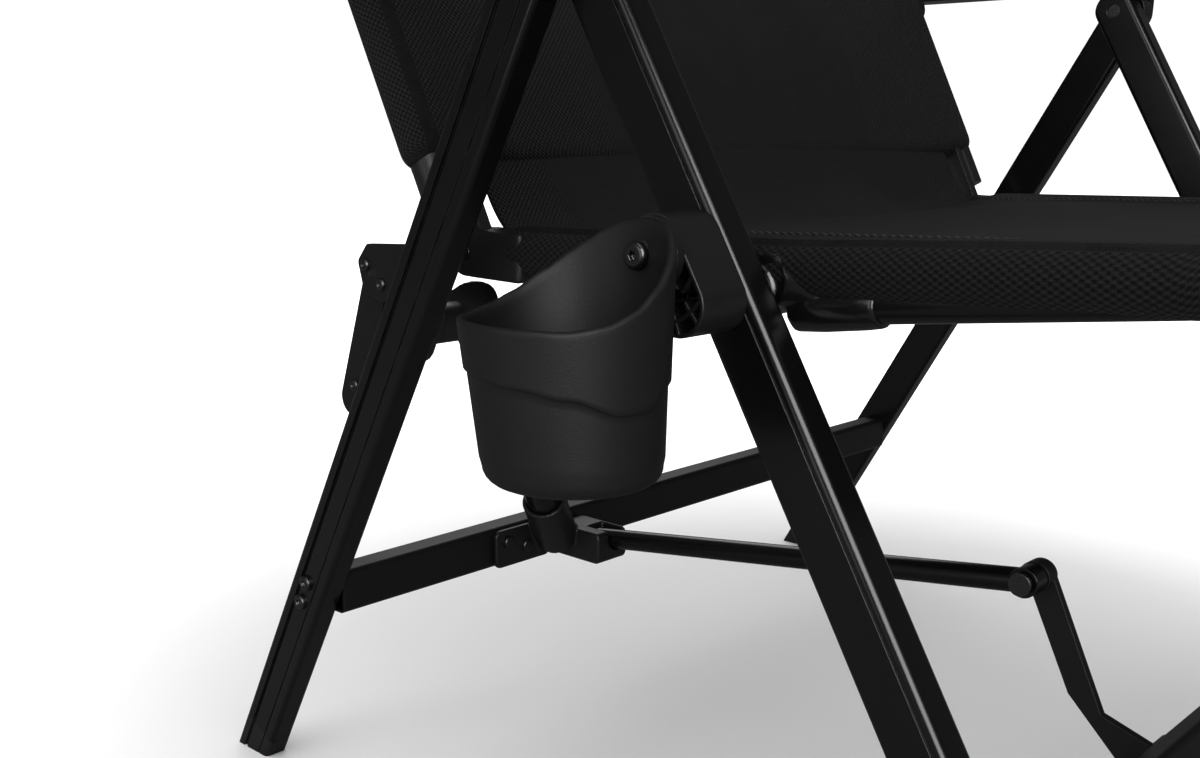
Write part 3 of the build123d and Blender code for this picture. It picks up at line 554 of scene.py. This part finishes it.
def cup_shape():
    """The tapered cup with its slanting rim, stepped band, rounded foot and inside wall."""
    low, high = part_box("cup_holder")
    bolt = pivots["cup_swivel"]
    top_radius, foot_radius, wall, proud = 0.0457, 0.0375, 0.0026, 0.0012
    axis_x = low.x + 0.0412
    lean_foot, lean_top = -0.002, 0.006  # places of the cup's axis along Y, from the bolt
    foot_z, top_z = low.z, bolt.z + 0.018
    turn, rim_turn = radians(46.0), radians(11.0)
    across = Vector((cos(turn), -sin(turn)))
    rim_way = Vector((cos(rim_turn), -sin(rim_turn)))
    # Heights over the bolt, read from the photo: the rim by distance along rim_way, and the
    # lower edge of the band by the share of the radius along across.
    rim_line = (
        (-0.060, -0.0205), (-0.0377, -0.0215), (-0.025, -0.022), (-0.0098, -0.020), (0.003, -0.0157),
        (0.0177, -0.0075), (0.028, 0.0005), (0.038, 0.009), (0.0435, 0.016), (0.060, 0.020),
    )
    step_line = (
        (-1.0, -0.042), (-0.47, -0.0445), (0.0, -0.048), (0.53, -0.055), (0.77, -0.0545), (1.0, -0.0470),
    )
    rim_radius, ease = 0.0445, 0.004
    step_below, step_rise = 0.0008, 0.0012
    columns = 128

    def radius(z):
        return mix(foot_radius, top_radius, (z - foot_z) / (top_z - foot_z))

    def axis_y(z):
        return bolt.y + mix(lean_foot, lean_top, (z - foot_z) / (top_z - foot_z))

    def rim(x):
        near = (along(rim_line, x - ease), along(rim_line, x), along(rim_line, x + ease))
        return bolt.z + (near[0] + 2.0 * near[1] + near[2]) / 4.0

    def step(share):
        return bolt.z + along(step_line, share)

    floor_radius, floor_edge, dish = foot_radius * 0.94, 0.86, 0.0006
    rows = [("floor", share) for share in (0.0, 0.35, 0.7, floor_edge)]
    for kind, first, last, steps in (
        ("round", 1, 6, 6), ("lower", 1, 10, 10), ("step", 1, 3, 3), ("upper", 1, 14, 14),
        ("lip", 1, 5, 6), ("inner", 0, 20, 20), ("inner_round", 1, 5, 5),
    ):
        rows.extend((kind, k / steps) for k in range(first, last + 1))
    rows.extend(("inner_floor", share) for share in (0.8, 0.45, 0.0))
    vertices = []
    foot_round, inner_round = 0.0075, 0.0055
    lip = wall / 2 + proud / 2
    for kind, share in rows:
        for j in range(columns):
            angle = 2.0 * pi * j / columns
            way = Vector((cos(angle), sin(angle)))
            top = rim(rim_radius * way.dot(rim_way))
            line = step(max(-1.0, min(1.0, way.dot(across))))
            if kind == "floor":
                r, z = share * floor_radius, foot_z + dish * (1.0 - share)
                if share == floor_edge:
                    r = foot_radius - foot_round
            elif kind == "round":
                bend = share * pi / 2
                r = foot_radius - foot_round + foot_round * sin(bend)
                z = foot_z + foot_round * (1.0 - cos(bend))
            elif kind == "lower":
                z = mix(foot_z + foot_round, line - step_below, share)
                r = radius(z)
            elif kind == "step":
                z = line - step_below + step_rise * share
                r = radius(z) + proud * smooth(0.0, 1.0, share)
            elif kind == "upper":
                z = mix(line - step_below + step_rise, top - lip, share)
                r = radius(z) + proud
            elif kind == "lip":
                bend = share * pi
                z = top - lip + lip * sin(bend)
                r = radius(top) + proud - lip + lip * cos(bend)
            elif kind == "inner":
                z = mix(top - lip, foot_z + wall + inner_round, share)
                r = radius(z) - wall
            elif kind == "inner_round":
                bend = share * pi / 2
                r = foot_radius - wall - inner_round + inner_round * cos(bend)
                z = foot_z + wall + inner_round * (1.0 - sin(bend))
            else:
                r, z = share * (foot_radius - wall - inner_round), foot_z + wall
            x = axis_x + r * way.x
            # The side that meets the hub is pressed flat round the bolt.
            if kind not in ("inner", "inner_round", "inner_floor"):
                x = min(x, high.x)
            vertices.append(Vector((x, axis_y(z) + r * way.y, z)))
    return vertices, loops_to_faces(len(rows), columns)


cup_vertices, cup_faces = cup_shape()
cup = new_piece("cup_shell", cup_vertices, cup_faces, "cup", finishes["cup_plastic"])
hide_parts("cup_holder")


def turned(name, body, x, y, z, side, profile, material, sides=40):
    """A turned piece about an axis along X: (radius, height) pairs, height towards side."""
    vertices = []
    for r, up in profile:
        for k in range(sides):
            turn = 2.0 * pi * k / sides
            vertices.append(Vector((x + side * up, y + r * cos(turn), z + r * sin(turn))))
    faces = loops_to_faces(len(profile), sides)
    faces.append(tuple(range(sides)))
    faces.append(tuple(range(len(vertices) - sides, len(vertices))))
    return new_piece(name, vertices, faces, body, material)


wall_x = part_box("cup_holder")[1].x - 0.0012
boss_profile = (
    (0.0068, 0.0), (0.0068, 0.0036), (0.0065, 0.0042),
    (0.0060, 0.0045), (0.0032, 0.0045), (0.0032, 0.002),
)
turned(
    "cup_boss", "cup", wall_x, pivots["cup_swivel"].y, pivots["cup_swivel"].z, -1,
    boss_profile, finishes["cup_plastic"],
)


# ---------------------------------------------------------------- seat elbows and other mouldings


def sweep(path, radii, sides=24):
    """Rings of a round bar that follows a path of points, closed at both ends."""
    vertices = []
    for i, (centre, size) in enumerate(zip(path, radii)):
        line = (path[min(i + 1, len(path) - 1)] - path[max(i - 1, 0)]).normalized()
        up = Vector((0, 0, 1)) if abs(line.z) < 0.9 else Vector((0, 1, 0))
        across = line.cross(up).normalized()
        over = across.cross(line)
        wide, tall = size if isinstance(size, tuple) else (size, size)
        for k in range(sides):
            turn = 2.0 * pi * k / sides
            vertices.append(centre + across * cos(turn) * wide + over * sin(turn) * tall)
    faces = loops_to_faces(len(path), sides)
    faces.append(tuple(range(sides - 1, -1, -1)))
    faces.append(tuple(range(len(vertices) - sides, len(vertices))))
    return vertices, faces


def merged(name, shapes, voxel, rounds, body, slot, material):
    """One smooth moulding from overlapping closed shapes, by voxel remesh and smoothing."""
    vertices, faces = [], []
    for points, quads in shapes:
        base = len(vertices)
        vertices.extend(points)
        faces.extend(tuple(base + k for k in quad) for quad in quads)
    mesh = bpy.data.meshes.new(name)
    mesh.from_pydata([tuple(v) for v in vertices], [], faces)
    piece = bpy.data.objects.new(name, mesh)
    bpy.context.scene.collection.objects.link(piece)
    remesh = piece.modifiers.new("skin", "REMESH")
    remesh.mode = "VOXEL"
    remesh.voxel_size = voxel
    relax = piece.modifiers.new("relax", "SMOOTH")
    relax.factor = 0.5
    relax.iterations = rounds
    bpy.context.view_layer.update()
    graph = bpy.context.evaluated_depsgraph_get()
    solid = bpy.data.meshes.new_from_object(piece.evaluated_get(graph))
    piece.modifiers.clear()
    piece.data = solid
    solid.polygons.foreach_set("use_smooth", [True] * len(solid.polygons))
    solid.materials.clear()
    solid.materials.append(material)
    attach(piece, body)
    return piece


def seat_elbow(side):
    """Glossy elbow: a barrel from the hinge that bends forward into a cup under the rail."""
    name = "left" if side < 0 else "right"
    node = f"seat_connector_{name}"
    low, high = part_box(node)
    outer = max(abs(low.x), abs(high.x))
    inner = min(abs(low.x), abs(high.x)) + 0.002
    rail_x = (tube_high.x + abs(tube_low.x)) / 2 - 0.009
    elbow_y, elbow_z = hinge.y - 0.0215, hinge.z + 0.005
    rise = tan(radians(6.5))  # the front of the seat climbs by 6.5 degrees
    rail_z = hinge.z - 0.005

    def at(x, y, z):
        return Vector((side * x, y, z))

    # The offsets along these paths are metres, read from the photo.
    barrel = [
        at(outer - 0.002, hinge.y - 0.009, elbow_z),
        at(outer - 0.008, hinge.y - 0.009, elbow_z),
        at(rail_x + 0.003, elbow_y, elbow_z - 0.0005),
        at(rail_x - 0.003, elbow_y - 0.009, elbow_z - 0.006),
    ]
    start_y = hinge.y - 0.030
    steps = (0.014, 0.0, -0.012, -0.022, -0.030)
    under = [at(rail_x, start_y + d, rail_z - d * rise - 0.001) for d in steps]
    rear = [at(rail_x, hinge.y - 0.004, hinge.z), at(rail_x, hinge.y + 0.020, hinge.z)]
    rear.append(at(rail_x, hinge.y + 0.047, hinge.z + 0.001))
    through = [at(outer, hinge.y, hinge.z), at(inner, hinge.y, hinge.z)]
    shapes = [
        sweep(barrel, (0.0120, 0.0120, 0.0118, 0.0112)),
        sweep(under, (0.0108, 0.0112, 0.0109, 0.0106, 0.0099)),
        sweep(through, (0.0125, 0.0125)),
        sweep(rear, ((0.0088, 0.0138),) * 3),
    ]
    slot, voxel, rounds = "gloss_moulding", 0.0010, 5
    piece = merged(f"seat_elbow_{name}", shapes, voxel, rounds, "seat", slot, finishes[slot])
    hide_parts(node)


seat_elbow(-1)
seat_elbow(1)


def soften(node, body, rounds):
    """The same moulding as the CAD node, with the soft edges and fillets of a real moulding."""
    mesh = frame["nodes"][node].data
    shape = ([v.co.copy() for v in mesh.vertices], [tuple(face.vertices) for face in mesh.polygons])
    slot, voxel = slot_of[node], 0.0009
    piece = merged(f"{node}_moulding", [shape], voxel, rounds, body, slot, finishes[slot])
    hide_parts(node)


soften("brace_clip", "rear_legs", 9)
soften("brace_top_joint", "rear_legs", 7)
soften("back_fork_left", "seat", 5)
soften("back_fork_right", "seat", 5)


# ---------------------------------------------------------------- latch rivet heads


def rivet_head(name, body, x, y, z, radius, side):
    """A domed head with a shallow hollow, on a face that looks along -X or +X."""
    height, sunk, sides = 0.55, 0.0002, 28
    shape = (
        (1.0, 0.0), (1.0, 0.35), (0.93, 0.75), (0.75, 1.0),
        (0.50, 1.08), (0.42, 0.85), (0.30, 0.60), (0.02, 0.58),
    )
    profile = [(radius * r, radius * height * up - sunk) for r, up in shape]
    slot = "black_fasteners"
    turned(name, body, x, y, z, side, profile, finishes[slot], sides)


head_radius = 0.0036
latch_rivets = ((0.006, 0.004), (-0.008, -0.006))  # (y, z) from the lever's pin
lever_rivet = (0.025, -0.068)
for side in (-1, 1):
    name = "left" if side < 0 else "right"
    plate_low, plate_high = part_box(f"latch_bracket_{name}")
    lever_low, lever_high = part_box(f"latch_lever_{name}")
    plate_face = plate_low.x if side < 0 else plate_high.x
    lever_face = lever_low.x if side < 0 else lever_high.x
    pin = pivots[f"lever_{name}_turn"]
    for number, (dy, dz) in enumerate(latch_rivets):
        label = f"latch_head_{name}_{number + 1}"
        rivet_head(label, "rear_legs", plate_face, pin.y + dy, pin.z + dz, head_radius, side)
    place = (lever_face, pin.y + lever_rivet[0], pin.z + lever_rivet[1])
    rivet_head(f"lever_head_{name}", f"lever_{name}", *place, head_radius, side)


# ---------------------------------------------------------------- floor, light and camera


def floor():
    """A pale floor that glows to white away from the chair, and looks dark in reflections."""
    half, glow_start, glow_end, tone_in_reflections = 9, 0.45, 1.3, 0.16
    mesh = bpy.data.meshes.new("floor")
    corners = [(-half, -half, 0), (half, -half, 0), (half, half, 0), (-half, half, 0)]
    mesh.from_pydata(corners, [], [(0, 1, 2, 3)])
    ground = bpy.data.objects.new("floor", mesh)
    bpy.context.scene.collection.objects.link(ground)
    graph = Graph("pale_floor")
    distance = graph.add("VectorMath", {0: graph.place}, operation="LENGTH").outputs["Value"]
    far = graph.ramp(distance, glow_start, glow_end)
    tone = graph.colour(graph.noise(3.0, 3.0), grey(0.84), grey(0.88))
    ray = graph.add("LightPath")
    dimmed = graph.colour(ray.outputs["Is Glossy Ray"], tone, grey(tone_in_reflections))
    glow = graph.math("MULTIPLY", far, ray.outputs["Is Camera Ray"])
    graph.shade(Base_Color=dimmed, Roughness=0.9, Specular_IOR_Level=0.1,
                Emission_Color=grey(1.0), Emission_Strength=glow)
    mesh.materials.append(graph.material)


def area_light(name, place, target, size, power):
    light = bpy.data.lights.new(name, "AREA")
    light.shape = "RECTANGLE"
    light.size, light.size_y = size
    light.energy = power
    lamp = bpy.data.objects.new(name, light)
    lamp.location = place
    lamp.rotation_euler = (Vector(target) - Vector(place)).to_track_quat("-Z", "Y").to_euler()
    bpy.context.scene.collection.objects.link(lamp)


def card(name, place, target, size, strength):
    """A bright card that only reflections can see."""
    across, tall = size[0] / 2, size[1] / 2
    mesh = bpy.data.meshes.new(name)
    corners = [(-across, -tall, 0), (across, -tall, 0), (across, tall, 0), (-across, tall, 0)]
    mesh.from_pydata(corners, [], [(0, 1, 2, 3)])
    sheet = bpy.data.objects.new(name, mesh)
    sheet.location = place
    sheet.rotation_euler = (Vector(target) - Vector(place)).to_track_quat("-Z", "Y").to_euler()
    bpy.context.scene.collection.objects.link(sheet)
    graph = Graph(name)
    falloff = graph.colour(graph.noise(2.0, 1.0), grey(0.92), grey(1.0))
    graph.shade(Base_Color=grey(0.0), Emission_Color=falloff, Emission_Strength=strength)
    mesh.materials.append(graph.material)
    sheet.visible_camera = sheet.visible_diffuse = sheet.visible_shadow = False


def surroundings():
    """White behind everything, and dimmer in reflections so that black stays black."""
    world = bpy.data.worlds.new("studio")
    bpy.context.scene.world = world
    world.use_nodes = True
    tree = world.node_tree
    tree.nodes.clear()
    output = tree.nodes.new("ShaderNodeOutputWorld")
    ray = tree.nodes.new("ShaderNodeLightPath")
    chosen = tree.nodes.new("ShaderNodeMixShader")
    glossy = tree.nodes.new("ShaderNodeMixShader")

    def background(strength):
        node = tree.nodes.new("ShaderNodeBackground")
        node.inputs["Color"].default_value = grey(1.0)
        node.inputs["Strength"].default_value = strength
        return node

    seen, lit, mirrored = background(1.1), background(0.86), background(0.10)
    tree.links.new(ray.outputs["Is Glossy Ray"], glossy.inputs[0])
    tree.links.new(lit.outputs[0], glossy.inputs[1])
    tree.links.new(mirrored.outputs[0], glossy.inputs[2])
    tree.links.new(ray.outputs["Is Camera Ray"], chosen.inputs[0])
    tree.links.new(glossy.outputs[0], chosen.inputs[1])
    tree.links.new(seen.outputs[0], chosen.inputs[2])
    tree.links.new(chosen.outputs[0], output.inputs["Surface"])


def camera():
    """The camera fitted to the photo: its place, its heading, pitch and roll, and its lens."""
    place = Vector((-0.773, -0.4525, 0.4135))
    heading, pitch, roll = radians(46.569), radians(15.144), radians(0.304)
    forward = Vector((sin(heading) * cos(pitch), cos(heading) * cos(pitch), -sin(pitch)))
    right = Vector((cos(heading), -sin(heading), 0.0))
    up = right.cross(forward)
    right, up = right * cos(roll) + up * sin(roll), up * cos(roll) - right * sin(roll)
    lens = bpy.data.cameras.new("camera")
    lens.lens = 39.558
    lens.sensor_width = 36.0
    lens.shift_x = 0.00845
    lens.shift_y = 0.08776
    lens.clip_start = 0.01
    eye = bpy.data.objects.new("camera", lens)
    bpy.context.scene.collection.objects.link(eye)
    facing = Matrix((right, up, -forward)).transposed().to_4x4()
    eye.matrix_world = Matrix.Translation(place) @ facing
    bpy.context.scene.camera = eye


floor()
surroundings()
area_light("left_box", (-2.6, 0.35, 0.75), (0.0, 0.0, 0.35), (1.1, 1.7), 15.0)
area_light("top_box", (-0.6, -0.4, 2.6), (0.0, 0.0, 0.3), (1.6, 1.6), 16.0)
area_light("front_box", (-0.9, -2.4, 1.3), (0.0, 0.0, 0.3), (0.7, 1.4), 6.0)
area_light("rear_box", (1.6, 1.9, 1.8), (0.0, 0.0, 0.4), (1.5, 1.5), 14.0)
card("leg_card", (-1.39, -1.37, 1.03), (-0.31, -0.15, 0.25), (1.3, 1.5), 13.0)
camera()
bpy.context.scene.view_settings.view_transform = "Standard"
bpy.context.scene.view_settings.look = "None"
